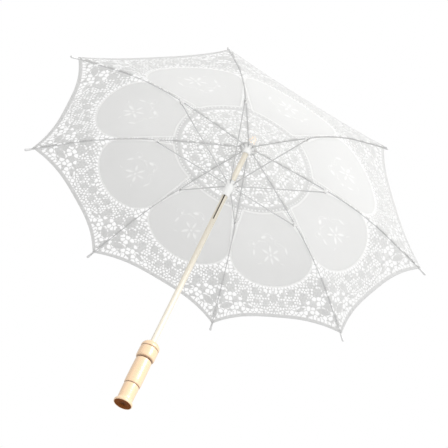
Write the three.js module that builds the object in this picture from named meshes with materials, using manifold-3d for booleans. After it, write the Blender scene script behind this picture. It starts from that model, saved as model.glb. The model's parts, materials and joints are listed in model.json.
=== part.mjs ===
// White lace parasol, open, standing upright on the end of its handle.
//
// Units are millimetres. +Z runs up the shaft from the handle to the finial, the origin is the centre
// of the handle's end face, and rib 1 points along +X. Ribs 1 to 8 follow each other anticlockwise
// seen from above, and gore k fills the space between rib k and rib k + 1.
//
// Every rib hangs from a wire ring in the crown and every stretcher from one in the runner. A rib's
// hinge, its stretcher's joint and the stretcher's foot make a triangle with two equal sides, so the
// runner slides straight along the shaft while all ribs fold together.
import * as THREE from 'three';
import { mergeVertices } from 'three/addons/utils/BufferGeometryUtils.js';
import Module from 'manifold-3d';

const wasm = await Module();
wasm.setup();

const radians = THREE.MathUtils.degToRad;

// ---- Driving dimensions ---------------------------------------------------------------------------
const ribCount = 8;
const clearance = 0.3;              // between pieces that touch, turn or slide

const spanRadius = 400;             // shaft axis to the far end of a rib tip
const crownPivotHeight = 617.5;     // handle end to the ribs' hinge ring
const innerRibLength = 176;         // hinge ring to the rib's joint, along the rib
const hingeSlope = radians(14.5);   // fall of a rib where it leaves the crown
const jointSlope = radians(17.5);   // fall at its joint
const tipSlope = radians(34);       // fall of its straight outer end
const ribBendLength = 150;          // stretch over which the outer rib bends down to that slope

const wireRadius = 1.1;             // ribs and stretchers
const eyeRadius = 2.2;              // round ends of the wires, threaded on the rings
const eyeThickness = 2;
const eyeClearance = 0.4;           // between a ring and the hole of an eye
const ringWireRadius = 0.5;         // hinge rings in the crown and the runner
const ringStandOff = 3.1;           // from the sleeve to the middle of the ring's wire

const jointLength = 10.6;           // fitting that joins rib and stretcher
const jointWidth = 6.1;
const jointPinBack = 5;             // its pin, behind the fitting's outer end
const jointPinDrop = 4.5;           // and below the rib
const jointPinRadius = 0.75;
const earRadius = 2.7;

const capLength = 13.5;             // rib tip
const capNeckRadius = 2.2;
const capEndRadius = 2.6;
const capSocketDepth = 9.5;

const shaftRadius = 5.35;
const shaftTopAboveCrown = 22.5;

const sleeveWall = 2.55;            // crown and runner, outside the shaft
const flangeRim = 2.6;              // flange outside the hinge ring
const flangeHalfHeight = 2.6;
const crownSleeveBelow = 17;        // below the hinge ring
const crownSleeveAbove = 3.5;
const runnerSleeveBelow = 33;
const runnerSleeveAbove = 5;
const slidingClearance = 0.45;      // runner on the shaft

const springSlotLength = 64;
const springSlotWidth = 2.4;
const springSlotDepth = 6.3;
const springWidth = 1.8;
const springNose = 1.4;             // how far the catch stands out of the shaft
const pinRadius = 1;                // pins through the shaft

const socketDepth = 86.8;           // shaft in the handle
const endFlangeRadius = 16.4;       // turned handle, from its end upwards
const endFlangeHeight = 10;         // with the cove above it
const lowerGripRadius = 13.5;
const lowerGripLength = 26.7;
const barrelRadius = 14.6;
const barrelLength = 52.7;
const collarRadius = 16.5;
const collarLength = 24.2;
const grooveDepth = 2;              // main groove, under the collar
const grooveLength = 1.8;
const domeLength = 11.4;
const domeTopRadius = 8.4;
const endCapRim = 1.8;              // wood left round the end cap
const endCapThickness = 2.4;
const finialLength = 31.5;
const finialRadius = 7.8;

const fabricThickness = 1.2;
const canopyHoleRim = 2.1;          // hole at the crown, outside the crown's flange
const rosetteOverlap = 1.8;         // cloth round that covers the hole
const hemCornerInset = 2.2;         // canopy's corners, short of the rib tips' caps
const hemScallop = 19.2;            // how far the hem curves in between two corners
const goreRowLength = 48;           // longest flat stretch of a gore's outer part, along the ribs

// ---- Sizes worked out from them -------------------------------------------------------------------
const halfGore = Math.PI / ribCount;
const ribTop = wireRadius + 0.2;                        // top of the fitting above the rib's centreline
// Underside of the canopy above the ribs' centrelines: a gore falls a little over half the fitting.
const fabricRise = ribTop + clearance
  + (jointWidth / 2) * Math.sin(halfGore) * Math.tan(jointSlope);
const shaftTop = crownPivotHeight + shaftTopAboveCrown;
const slotWidth = 2 * (wireRadius + clearance);         // rib slots in the flanges
const sleeveRadius = shaftRadius + sleeveWall;
const ringRadius = sleeveRadius + ringStandOff;
const flangeRadius = ringRadius + flangeRim;
const canopyHoleRadius = flangeRadius + canopyHoleRim;
const rosetteRadius = canopyHoleRadius + rosetteOverlap;
const gripTop = endFlangeHeight + lowerGripLength;
const barrelTop = gripTop + barrelLength;
const collarFoot = barrelTop + grooveLength;
const collarTop = collarFoot + collarLength;
const handleLength = collarTop + domeLength;
const handleSocketFloor = handleLength - socketDepth;
const endCapRadius = endFlangeRadius - endCapRim;

// A rib's centreline in its own upright plane: an arc to the joint, a tighter arc, then a straight.
const ribArcs = [
  { length: innerRibLength, from: hingeSlope, to: jointSlope },
  { length: ribBendLength, from: jointSlope, to: tipSlope },
];

function arcStep({ length, from, to }, along) {
  const radius = length / (to - from);
  const slope = from + along / radius;
  return {
    x: radius * (Math.sin(slope) - Math.sin(from)),
    z: radius * (Math.cos(slope) - Math.cos(from)),
    slope,
  };
}

function ribAt(distance) {
  const here = { x: ringRadius, z: crownPivotHeight, slope: hingeSlope };
  let left = distance;
  for (const arc of ribArcs) {
    const step = arcStep(arc, Math.min(left, arc.length));
    here.x += step.x;
    here.z += step.z;
    here.slope = step.slope;
    left -= arc.length;
    if (left <= 0) return here;
  }
  here.x += left * Math.cos(tipSlope);
  here.z -= left * Math.sin(tipSlope);
  return here;
}

const bendEnd = innerRibLength + ribBendLength;
const ribLength = bendEnd + (spanRadius - ribAt(bendEnd).x) / Math.cos(tipSlope);
const capStart = ribLength - capLength;
const hemCornerRadius = ribAt(capStart).x - hemCornerInset;

// Distance along the rib at which it is a given radius from the shaft.
function distanceAt(radius) {
  let low = 0;
  let high = ribLength;
  for (let i = 0; i < 50; i++) {
    const middle = (low + high) / 2;
    if (ribAt(middle).x < radius) low = middle;
    else high = middle;
  }
  return (low + high) / 2;
}

// The linkage: the stretcher's foot mirrors the rib's hinge about the height of the joint pin.
const joint = ribAt(innerRibLength);
const jointPin = {
  x: joint.x - jointPinBack * Math.cos(joint.slope) - jointPinDrop * Math.sin(joint.slope),
  z: joint.z + jointPinBack * Math.sin(joint.slope) - jointPinDrop * Math.cos(joint.slope),
};
const runnerPivotHeight = 2 * jointPin.z - crownPivotHeight;
const runnerBottom = runnerPivotHeight - runnerSleeveBelow;
const springSlotTop = runnerBottom + 2;
const springSlotBottom = springSlotTop - springSlotLength;

// The rosette lies on the gores' inner edges and falls with them outside its flat middle.
const rosetteFlat = sleeveRadius + 0.1;
const goreTopRise = (fabricRise + fabricThickness) / Math.cos(hingeSlope);
const rosetteEdge = ribAt(distanceAt(rosetteRadius)).z + goreTopRise + clearance;
const rosetteBottom = rosetteEdge + (rosetteRadius - rosetteFlat) * Math.tan(hingeSlope);

// ---- Solids ---------------------------------------------------------------------------------------

// A closed geometry as a solid that can be cut and joined.
function solid(geometry) {
  const bare = geometry.clone();
  bare.deleteAttribute('normal');
  bare.deleteAttribute('uv');
  const merged = mergeVertices(bare, 1e-4);
  const corners = [];
  for (let i = 0; i < merged.index.count; i += 3) {
    const [a, b, c] = [0, 1, 2].map((k) => merged.index.getX(i + k));
    if (a !== b && b !== c && c !== a) corners.push(a, b, c);
  }
  return new wasm.Manifold(new wasm.Mesh({
    numProp: 3,
    vertProperties: new Float32Array(merged.attributes.position.array),
    triVerts: new Uint32Array(corners),
  }));
}

function geometryOf(manifold) {
  const mesh = manifold.getMesh();
  const geometry = new THREE.BufferGeometry();
  geometry.setAttribute('position', new THREE.BufferAttribute(mesh.vertProperties, 3));
  geometry.setIndex(new THREE.BufferAttribute(mesh.triVerts, 1));
  geometry.computeVertexNormals();
  return geometry;
}

const join = (...parts) => geometryOf(parts.map(solid).reduce((a, b) => a.add(b)));
const cut = (base, ...tools) => geometryOf(tools.map(solid).reduce((a, b) => a.subtract(b), solid(base)));

// A turned shape about Z from [radius, height] pairs, up the outside.
function turned(profile, sides = 20) {
  const points = profile.map(([radius, height]) => new THREE.Vector2(radius, height));
  return new THREE.LatheGeometry(points, sides).rotateX(Math.PI / 2);
}

// A turned ring about Z: the profile is closed on itself.
const ring = (profile, sides = 20) => turned([...profile, profile[0]], sides);

function extruded(shape, depth, curveSegments = 6) {
  return new THREE.ExtrudeGeometry(shape, { depth, bevelEnabled: false, curveSegments });
}

// A plate drawn in a rib's upright plane (x out, y up), centred on that plane.
function uprightPlate(shape, thickness, curveSegments = 6) {
  return extruded(shape, thickness, curveSegments).rotateX(Math.PI / 2).translate(0, thickness / 2, 0);
}

// A round rod across a rib's upright plane.
const crossRod = (radius, length, x, z) => new THREE.CylinderGeometry(radius, radius, length, 8)
  .translate(x, 0, z);

function disc(radius, sides = 6) {
  const points = [];
  for (let i = 0; i < sides; i++) {
    const angle = (2 * Math.PI * i) / sides;
    points.push(new THREE.Vector2(radius * Math.cos(angle), radius * Math.sin(angle)));
  }
  return new THREE.Shape(points);
}

// A wire through a list of points in a rib's upright plane.
function wire(points, steps) {
  const path = points.length === 2
    ? new THREE.LineCurve3(points[0], points[1])
    : new THREE.CatmullRomCurve3(points);
  return new THREE.ExtrudeGeometry(disc(wireRadius), { steps, extrudePath: path, bevelEnabled: false });
}

function ribWire(from, to, steps) {
  const points = [];
  for (let i = 0; i <= steps; i++) {
    const { x, z } = ribAt(from + ((to - from) * i) / steps);
    points.push(new THREE.Vector3(x, 0, z));
  }
  return wire(points, steps);
}

// The flat eye at the end of a wire, with its hole across the rib's plane.
function eye(holeRadius, x, z) {
  const shape = new THREE.Shape().absarc(0, 0, eyeRadius, 0, 2 * Math.PI);
  shape.holes.push(new THREE.Path().absarc(0, 0, holeRadius, 0, 2 * Math.PI, true));
  return uprightPlate(shape, eyeThickness, 5).translate(x, 0, z);
}

// ---- Shaft, handle and finial ---------------------------------------------------------------------

// A box that cuts outwards from the shaft's axis in direction -Y, from depth behind the surface.
function shaftSlot(width, bottom, top, from, to) {
  return new THREE.BoxGeometry(width, to - from, top - bottom)
    .translate(0, -(from + to) / 2, (bottom + top) / 2);
}

const crossHole = (radius, height, length) => new THREE.CylinderGeometry(radius, radius, length, 12)
  .rotateZ(Math.PI / 2).translate(0, 0, height);

const shaftBottom = handleSocketFloor + clearance;
const stopPinHeight = runnerPivotHeight + runnerSleeveAbove + clearance + pinRadius;
const crownPinHeight = crownPivotHeight - crownSleeveBelow / 2 - flangeHalfHeight / 2;

function shaft() {
  const rod = turned([[0, shaftBottom], [shaftRadius, shaftBottom], [shaftRadius, shaftTop], [0, shaftTop]]);
  const slotFloor = shaftRadius - springSlotDepth;
  return cut(
    rod,
    shaftSlot(springSlotWidth, springSlotBottom, springSlotTop, slotFloor, 2 * shaftRadius),
    crossHole(pinRadius + clearance, stopPinHeight, 4 * shaftRadius),
    crossHole(pinRadius + clearance, crownPinHeight, 4 * shaftRadius),
  );
}

const acrossShaft = (length, height) => new THREE.CylinderGeometry(pinRadius, pinRadius, length, 8)
  .rotateZ(Math.PI / 2).translate(0, 0, height);

const stopPin = () => acrossShaft(2 * (shaftRadius + springNose), stopPinHeight);
const crownPin = () => acrossShaft(2 * sleeveRadius - 0.4, crownPinHeight);

// Turned handle: end flange, cove, lower grip, groove, barrel, main groove, collar with a groove near
// its top, and a domed top round the shaft.
function handle() {
  const socketRadius = shaftRadius + clearance;
  const recessRadius = endCapRadius + clearance;
  const recessFloor = endCapThickness + clearance;
  const thinGroove = 0.8;
  return turned([
    [0, recessFloor], [recessRadius, recessFloor], [recessRadius, 0],
    [endFlangeRadius - 0.8, 0], [endFlangeRadius, 0.9], [endFlangeRadius, 0.32 * endFlangeHeight],
    [endFlangeRadius - 0.8, 0.44 * endFlangeHeight],
    [(endFlangeRadius + lowerGripRadius) / 2 - 0.9, 0.64 * endFlangeHeight],
    [lowerGripRadius - 0.3, endFlangeHeight], [lowerGripRadius, gripTop - 0.4 * lowerGripLength],
    [lowerGripRadius + 0.2, gripTop - 1],
    [lowerGripRadius - thinGroove, gripTop + 0.6], [barrelRadius - 0.1, gripTop + 2.4],
    [barrelRadius + 0.1, gripTop + 0.2 * barrelLength], [barrelRadius, gripTop + 0.6 * barrelLength],
    [barrelRadius - 0.2, barrelTop - 0.8],
    [barrelRadius - grooveDepth, barrelTop + 0.5], [barrelRadius - grooveDepth, collarFoot],
    [collarRadius - 0.7, collarFoot + 1.4], [collarRadius, collarFoot + 4],
    [collarRadius, collarTop - 3.8], [collarRadius - thinGroove, collarTop - 2.2],
    [collarRadius + 0.1, collarTop - 0.6], [collarRadius, collarTop + 0.2 * domeLength],
    [collarRadius - 1.3, collarTop + 0.5 * domeLength],
    [(collarRadius + domeTopRadius) / 2, handleLength - 0.2 * domeLength],
    [domeTopRadius, handleLength],
    [socketRadius, handleLength], [socketRadius, handleSocketFloor], [0, handleSocketFloor],
  ]);
}

const handleEndCap = () => turned([
  [0, 0], [endCapRadius, 0], [endCapRadius, endCapThickness], [0, endCapThickness],
]);

// Turned knob on top of the shaft, over the rosette.
function finial() {
  const foot = rosetteBottom + fabricThickness + clearance;
  const socketRadius = shaftRadius + clearance;
  const top = foot + finialLength;
  return turned([
    [0, shaftTop + clearance], [socketRadius, shaftTop + clearance], [socketRadius, foot],
    [finialRadius - 0.8, foot], [finialRadius, foot + 1.2], [finialRadius, foot + 4.2],
    [finialRadius - 1.2, foot + 6], [finialRadius - 0.4, foot + 9], [finialRadius, foot + 14],
    [finialRadius - 0.2, foot + 20], [finialRadius - 1.2, foot + 25.5], [finialRadius - 3.4, top - 2.2],
    [finialRadius - 5.6, top - 0.5], [0, top],
  ]);
}

// ---- Crown, runner and their rings ----------------------------------------------------------------

// A moulded hub centred on its hinge ring: a sleeve, and a flange cut by a groove for the ring's wire
// and by one slot for each rib or stretcher.
function hub(boreRadius, below, above) {
  const body = ring([
    [boreRadius, -below], [sleeveRadius - 0.6, -below], [sleeveRadius, -below + 0.6],
    [sleeveRadius, -flangeHalfHeight - 2], [flangeRadius - 1.4, -flangeHalfHeight],
    [flangeRadius, -flangeHalfHeight + 0.8], [flangeRadius, flangeHalfHeight - 0.8],
    [flangeRadius - 0.8, flangeHalfHeight], [sleeveRadius, flangeHalfHeight],
    [sleeveRadius, above], [boreRadius, above],
  ], 32);
  const grooveHalf = ringWireRadius + clearance;
  const groove = ring([
    [ringRadius - grooveHalf, -grooveHalf], [2 * flangeRadius, -grooveHalf],
    [2 * flangeRadius, grooveHalf], [ringRadius - grooveHalf, grooveHalf],
  ], 32);
  const slotStart = ringRadius - eyeRadius - clearance;
  const slots = [];
  for (let k = 0; k < ribCount; k++) {
    slots.push(new THREE.BoxGeometry(flangeRadius, slotWidth, 6 * flangeHalfHeight)
      .translate(slotStart + flangeRadius / 2, 0, 0)
      .rotateZ(2 * halfGore * k));
  }
  return cut(body, groove, ...slots);
}

function crown() {
  const moulding = hub(shaftRadius + clearance, crownSleeveBelow, crownSleeveAbove);
  return cut(moulding, crossHole(pinRadius + clearance, crownPinHeight - crownPivotHeight, 4 * sleeveRadius));
}

// The runner's bore has a keyway on the spring's side, so that the catch passes inside it.
function runner() {
  const keywayRadius = shaftRadius + springNose + clearance;
  return cut(
    hub(shaftRadius + slidingClearance, runnerSleeveBelow, runnerSleeveAbove),
    shaftSlot(springWidth + 2 * clearance, -2 * runnerSleeveBelow, 2 * runnerSleeveBelow, 0, keywayRadius),
  );
}

const ringWire = () => new THREE.TorusGeometry(ringRadius, ringWireRadius, 4, 32);

// Leaf spring in the shaft's slot, rising from its lower end to a catch just under the runner.
// Drawn with x outwards from the shaft's axis, then turned to face -Y.
function topSpring() {
  const tip = runnerBottom - clearance;
  const root = springSlotBottom + 1.5;
  const nose = shaftRadius + springNose;
  const outline = new THREE.Shape([
    [2.2, root], [3.4, root], [4.8, tip - 15], [nose, tip - 4.5], [nose, tip],
    [4, tip], [3.6, tip - 14],
  ].map(([x, z]) => new THREE.Vector2(x, z)));
  return uprightPlate(outline, springWidth).rotateZ(-Math.PI / 2);
}

// ---- Ribs, stretchers and tips, drawn in the upright plane of rib 1 --------------------------------

const wireInset = 1.4;              // from an eye's centre to where its wire starts

// Fitting on the rib at its joint: a body around the wire, two ears below it and the pin across them.
function jointFitting() {
  const back = -jointLength - clearance;
  const low = -(wireRadius + 0.1);
  const outline = new THREE.Shape();
  outline.moveTo(back, ribTop);
  outline.lineTo(back, low);
  outline.lineTo(-jointPinBack - earRadius, -jointPinDrop);
  outline.absarc(-jointPinBack, -jointPinDrop, earRadius, Math.PI, 2 * Math.PI);
  outline.lineTo(-clearance, low);
  outline.lineTo(-clearance, ribTop);
  const gap = 2 * (wireRadius + clearance);
  const gapTop = -(jointPinDrop - eyeRadius - clearance);
  const mouth = new THREE.BoxGeometry(2 * jointLength, gap, 2 * jointPinDrop)
    .translate(-jointLength / 2, 0, gapTop - jointPinDrop);
  const ears = cut(uprightPlate(outline, jointWidth), mouth);
  const pin = crossRod(jointPinRadius, jointWidth - 0.4, -jointPinBack, -jointPinDrop);
  return join(ears, pin).rotateY(joint.slope).translate(joint.x, 0, joint.z);
}

function innerRib() {
  return join(
    ribWire(wireInset, innerRibLength - clearance, 4),
    eye(ringWireRadius + eyeClearance, ringRadius, crownPivotHeight),
    jointFitting(),
  );
}

const outerRib = () => ribWire(innerRibLength + clearance, capStart + capSocketDepth - 0.5, 8);

function ribTip() {
  const socketRadius = wireRadius + clearance;
  const start = ribAt(capStart);
  return turned([
    [0, capSocketDepth], [socketRadius, capSocketDepth], [socketRadius, 0],
    [capNeckRadius - 0.2, 0], [capNeckRadius, 0.6], [capNeckRadius, capLength / 3],
    [capEndRadius, capLength - 4.5], [capEndRadius, capLength - 2],
    [capEndRadius - 1, capLength - 0.5], [0, capLength],
  ], 8).rotateY(Math.PI / 2 + tipSlope).translate(start.x, 0, start.z);
}

function stretcher() {
  const foot = new THREE.Vector3(ringRadius, 0, runnerPivotHeight);
  const head = new THREE.Vector3(jointPin.x, 0, jointPin.z);
  const along = head.clone().sub(foot).normalize().multiplyScalar(wireInset);
  return join(
    wire([foot.clone().add(along), head.clone().sub(along)], 1),
    eye(ringWireRadius + eyeClearance, foot.x, foot.z),
    eye(jointPinRadius + clearance, head.x, head.z),
  );
}

// ---- Canopy ---------------------------------------------------------------------------------------

// A closed slab between two sheets given as functions of u and v, each from 0 to 1.
function slab(lower, upper, across, along) {
  const positions = [];
  const index = [];
  const rowLength = along + 1;
  const sheetSize = (across + 1) * rowLength;
  for (const sheet of [lower, upper]) {
    for (let i = 0; i <= across; i++) {
      for (let j = 0; j <= along; j++) positions.push(...sheet(i / across, j / along));
    }
  }
  const quad = (a, b, c, d) => index.push(a, b, c, a, c, d);
  for (let i = 0; i < across; i++) {
    for (let j = 0; j < along; j++) {
      const a = i * rowLength + j;
      const b = a + rowLength;
      quad(a, b, b + 1, a + 1);
      quad(sheetSize + a, sheetSize + a + 1, sheetSize + b + 1, sheetSize + b);
    }
  }
  const edge = (a, b) => quad(a, b, b + sheetSize, a + sheetSize);
  for (let i = 0; i < across; i++) {
    edge((i + 1) * rowLength, i * rowLength);
    edge(i * rowLength + along, (i + 1) * rowLength + along);
  }
  for (let j = 0; j < along; j++) {
    edge(j, j + 1);
    edge(across * rowLength + j + 1, across * rowLength + j);
  }
  const geometry = new THREE.BufferGeometry();
  geometry.setAttribute('position', new THREE.Float32BufferAttribute(positions, 3));
  geometry.setIndex(index);
  geometry.computeVertexNormals();
  return geometry;
}

// A gore is cloth pulled straight from rib to rib, so its height depends only on the distance from
// the shaft along its own middle. This is a point of it, a given rise above the ribs' centrelines.
function goreAt(distance, side, rise) {
  const { x, z, slope } = ribAt(distance);
  const fall = Math.atan(Math.tan(slope) / Math.cos(halfGore));
  const out = x * Math.cos(halfGore) + rise * Math.sin(fall);
  const halfWidth = out * Math.tan(halfGore) - clearance / 2;
  return [out, side * halfWidth, z + rise * Math.cos(fall)];
}

// The hem: an inward curve between the two corners, flattest in the middle.
function hemDistance(side) {
  const inward = hemScallop * (1 - Math.abs(side) ** 3);
  return distanceAt(hemCornerRadius - inward / Math.cos(halfGore));
}

function gorePanel(start, end, across, along) {
  const sheet = (rise) => (u, v) => {
    const side = 2 * u - 1;
    const far = end(side);
    return goreAt(start + (far - start) * v, side, rise);
  };
  return slab(sheet(fabricRise), sheet(fabricRise + fabricThickness), across, along);
}

// Each gore is sewn to the ribs, and folds with them at the rib joints.
const seamDistance = innerRibLength;
const innerGore = () => gorePanel(distanceAt(canopyHoleRadius), () => seamDistance - clearance / 2, 1, 4);
const goreRows = Math.ceil((hemDistance(1) - seamDistance) / goreRowLength);
const outerGore = () => gorePanel(seamDistance + clearance / 2, hemDistance, 8, goreRows);

// Round of cloth that covers the hole at the crown, clamped under the finial.
function rosette() {
  const hole = shaftRadius + clearance;
  return ring([
    [hole, rosetteBottom], [rosetteFlat, rosetteBottom], [rosetteRadius, rosetteEdge],
    [rosetteRadius, rosetteEdge + fabricThickness], [rosetteFlat, rosetteBottom + fabricThickness],
    [hole, rosetteBottom + fabricThickness],
  ]);
}

// ---- Materials ------------------------------------------------------------------------------------
const finish = (color, roughness, metalness = 0) => new THREE.MeshStandardMaterial({
  color, roughness, metalness,
});
const paleWood = finish(0xf0c99b, 0.35);
const creamWood = finish(0xf1e6c8, 0.45);
const darkWood = finish(0x3c1c0c, 0.5);
const whitePlastic = finish(0xe9ecee, 0.4);
const whiteEnamel = finish(0xdfe2e4, 0.4, 0.2);
const springSteel = finish(0x3a3532, 0.35, 0.9);
const brightWire = finish(0xb9bcc0, 0.3, 0.9);
const cotton = finish(0xf2f2f0, 0.9);

// ---- Assembly -------------------------------------------------------------------------------------
const parasol = new THREE.Group();

function add(name, geometry, material, { height = 0, azimuth = 0 } = {}) {
  const mesh = new THREE.Mesh(geometry, material);
  mesh.name = name;
  mesh.position.z = height;
  mesh.rotation.z = azimuth;
  parasol.add(mesh);
}

add('shaft', shaft(), creamWood);
add('handle', handle(), paleWood);
add('handle_end_cap', handleEndCap(), darkWood);
add('finial', finial(), paleWood);
add('canopy_rosette', rosette(), cotton);
add('crown', crown(), whitePlastic, { height: crownPivotHeight });
add('crown_wire', ringWire(), brightWire, { height: crownPivotHeight });
add('crown_pin', crownPin(), brightWire);
add('runner', runner(), whitePlastic, { height: runnerPivotHeight });
add('runner_wire', ringWire(), brightWire, { height: runnerPivotHeight });
add('runner_stop_pin', stopPin(), brightWire);
add('top_spring', topSpring(), springSteel);

// The same pieces repeat round the shaft.
const aroundShaft = [
  ['rib_#', innerRib(), whiteEnamel, 0],
  ['rib_#_outer', outerRib(), whiteEnamel, 0],
  ['rib_#_tip', ribTip(), whitePlastic, 0],
  ['stretcher_#', stretcher(), whiteEnamel, 0],
  ['gore_#_inner', innerGore(), cotton, halfGore],
  ['gore_#_outer', outerGore(), cotton, halfGore],
];
for (let k = 0; k < ribCount; k++) {
  for (const [name, geometry, material, turn] of aroundShaft) {
    add(name.replace('#', k + 1), geometry, material, { azimuth: 2 * halfGore * k + turn });
  }
}

export default parasol;
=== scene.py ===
# %% [markdown]
# # A white lace parasol, open
#
# The parasol is a turned wooden handle and a thin shaft, eight wire ribs that hinge in a white crown,
# eight stretchers that push on them from a runner, and a canopy of eight lace gores. The fitted
# model of its parts is loaded first. It says where everything is and how it moves, so the object's
# surfaces made here take their place from it, and all but the rib wires ride on one of its bodies.
# All lengths are in metres.

# %% Load the fitted model
import json
import math

import bpy
import numpy as np
from mathutils import Matrix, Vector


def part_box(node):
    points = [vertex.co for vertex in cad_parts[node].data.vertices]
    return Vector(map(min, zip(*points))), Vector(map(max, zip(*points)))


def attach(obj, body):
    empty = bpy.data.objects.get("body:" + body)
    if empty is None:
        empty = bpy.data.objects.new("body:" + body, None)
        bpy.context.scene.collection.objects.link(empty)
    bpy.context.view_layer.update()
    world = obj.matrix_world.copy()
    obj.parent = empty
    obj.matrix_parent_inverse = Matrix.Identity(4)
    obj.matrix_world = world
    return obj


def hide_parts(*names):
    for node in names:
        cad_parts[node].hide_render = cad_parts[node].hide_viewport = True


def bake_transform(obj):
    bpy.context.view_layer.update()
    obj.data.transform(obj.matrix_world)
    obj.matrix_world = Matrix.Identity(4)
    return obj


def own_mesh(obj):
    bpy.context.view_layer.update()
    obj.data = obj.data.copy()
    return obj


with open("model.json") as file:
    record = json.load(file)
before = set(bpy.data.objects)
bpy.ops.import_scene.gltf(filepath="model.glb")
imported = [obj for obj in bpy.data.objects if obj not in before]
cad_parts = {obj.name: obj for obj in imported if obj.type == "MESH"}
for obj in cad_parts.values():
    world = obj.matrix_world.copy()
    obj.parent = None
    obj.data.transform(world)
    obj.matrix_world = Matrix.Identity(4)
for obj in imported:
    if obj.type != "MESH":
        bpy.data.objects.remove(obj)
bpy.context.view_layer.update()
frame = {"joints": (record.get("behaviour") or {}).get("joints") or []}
MM = 0.001
RIBS = 8
HALF_GORE = math.pi / RIBS

# %% [markdown]
# ## Camera first
#
# The picture is taken from below and in front, looking up into the open canopy, with a long lens so
# that the far ribs are not much smaller than the near ones. The camera is placed by three directions
# that are square to each other, which become the columns of its matrix.

# %% Camera
CAMERA_PLACE = (0.406, -1.587, -0.835)
LOOK = np.array([-0.1865, 0.7708, 0.6092])
RIGHT = np.array([0.9376, -0.0456, 0.3447])


def unit(vector):
    """The vector divided by its own length."""
    vector = np.asarray(vector, float)
    return vector / np.linalg.norm(vector)


look = unit(LOOK)
right = unit(RIGHT - look * (RIGHT @ look))
up = np.cross(right, look)
lens = bpy.data.cameras.new("camera")
lens.lens = 89.3
lens.sensor_width = 36.0
camera = bpy.data.objects.new("camera", lens)
bpy.context.collection.objects.link(camera)
turn = Matrix(np.column_stack([right, up, -look]).tolist()).to_4x4()
camera.matrix_world = Matrix.Translation(CAMERA_PLACE) @ turn
bpy.context.scene.camera = camera
print("camera looks up at", round(math.degrees(math.asin(look[2])), 1), "degrees")

# %% [markdown]
# ## Light
#
# White cloth on a white ground only reads as cloth if its shaded side is a little greyer than the
# ground. The world is pure white where the camera sees it, and dimmer where it lights the cloth. One
# large soft panel high on the right glows through the lace there, and a weak one fills from below.

# %% World and lights
WORLD_LIGHT = 0.82


def make_world():
    """A white world that is dimmer as a light than as a backdrop."""
    world = bpy.data.worlds.new("white_room")
    world.use_nodes = True
    tree = world.node_tree
    tree.nodes.clear()
    ray = tree.nodes.new("ShaderNodeLightPath")
    strength = tree.nodes.new("ShaderNodeMapRange")
    strength.inputs["To Min"].default_value = WORLD_LIGHT
    strength.inputs["To Max"].default_value = 1.0
    ground = tree.nodes.new("ShaderNodeBackground")
    ground.inputs["Color"].default_value = (1, 1, 1, 1)
    output = tree.nodes.new("ShaderNodeOutputWorld")
    tree.links.new(ray.outputs["Is Camera Ray"], strength.inputs["Value"])
    tree.links.new(strength.outputs["Result"], ground.inputs["Strength"])
    tree.links.new(ground.outputs[0], output.inputs["Surface"])
    bpy.context.scene.world = world


def soft_panel(name, place, target, size, watts):
    """A square area light at place, facing target."""
    data = bpy.data.lights.new(name, "AREA")
    data.size = size
    data.energy = watts
    lamp = bpy.data.objects.new(name, data)
    bpy.context.collection.objects.link(lamp)
    back = unit(np.subtract(place, target))
    side = unit(np.cross((0, 0, 1), back))
    rotation = Matrix(np.column_stack([side, np.cross(back, side), back]).tolist()).to_4x4()
    lamp.matrix_world = Matrix.Translation(place) @ rotation


make_world()
canopy_middle = (0.0, 0.0, 0.55)
soft_panel("key", (1.9, -1.9, 2.3), canopy_middle, 1.6, 115.0)
soft_panel("fill", (1.6, -2.2, -0.4), canopy_middle, 1.8, 9.0)
scene = bpy.context.scene
scene.view_settings.view_transform = "Standard"

# %% [markdown]
# ## Shader maths as Python
#
# A material is a tree of nodes, and sums on its numbers are Math nodes. Writing them out is long, so
# `Wire` wraps one output: adding or multiplying wires adds the Math nodes. Every other node comes
# from `Finish.node`, which takes its type, its settings and what goes into its sockets.


# %% Wires and finishes
class Wire:
    """One output socket of a node tree, with arithmetic that adds Math nodes."""

    def __init__(self, finish, socket):
        self.finish = finish
        self.socket = socket

    def math(self, operation, *others, swap=False):
        inputs = [self, *others]
        if swap:
            inputs.reverse()
        return self.finish.node("ShaderNodeMath", {"operation": operation}, dict(enumerate(inputs)))

    def __add__(self, other):
        return self.math("ADD", other)

    def __sub__(self, other):
        return self.math("SUBTRACT", other)

    def __rsub__(self, other):
        return self.math("SUBTRACT", other, swap=True)

    def __mul__(self, other):
        return self.math("MULTIPLY", other)

    def __truediv__(self, other):
        return self.math("DIVIDE", other)

    __radd__ = __add__
    __rmul__ = __mul__


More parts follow.
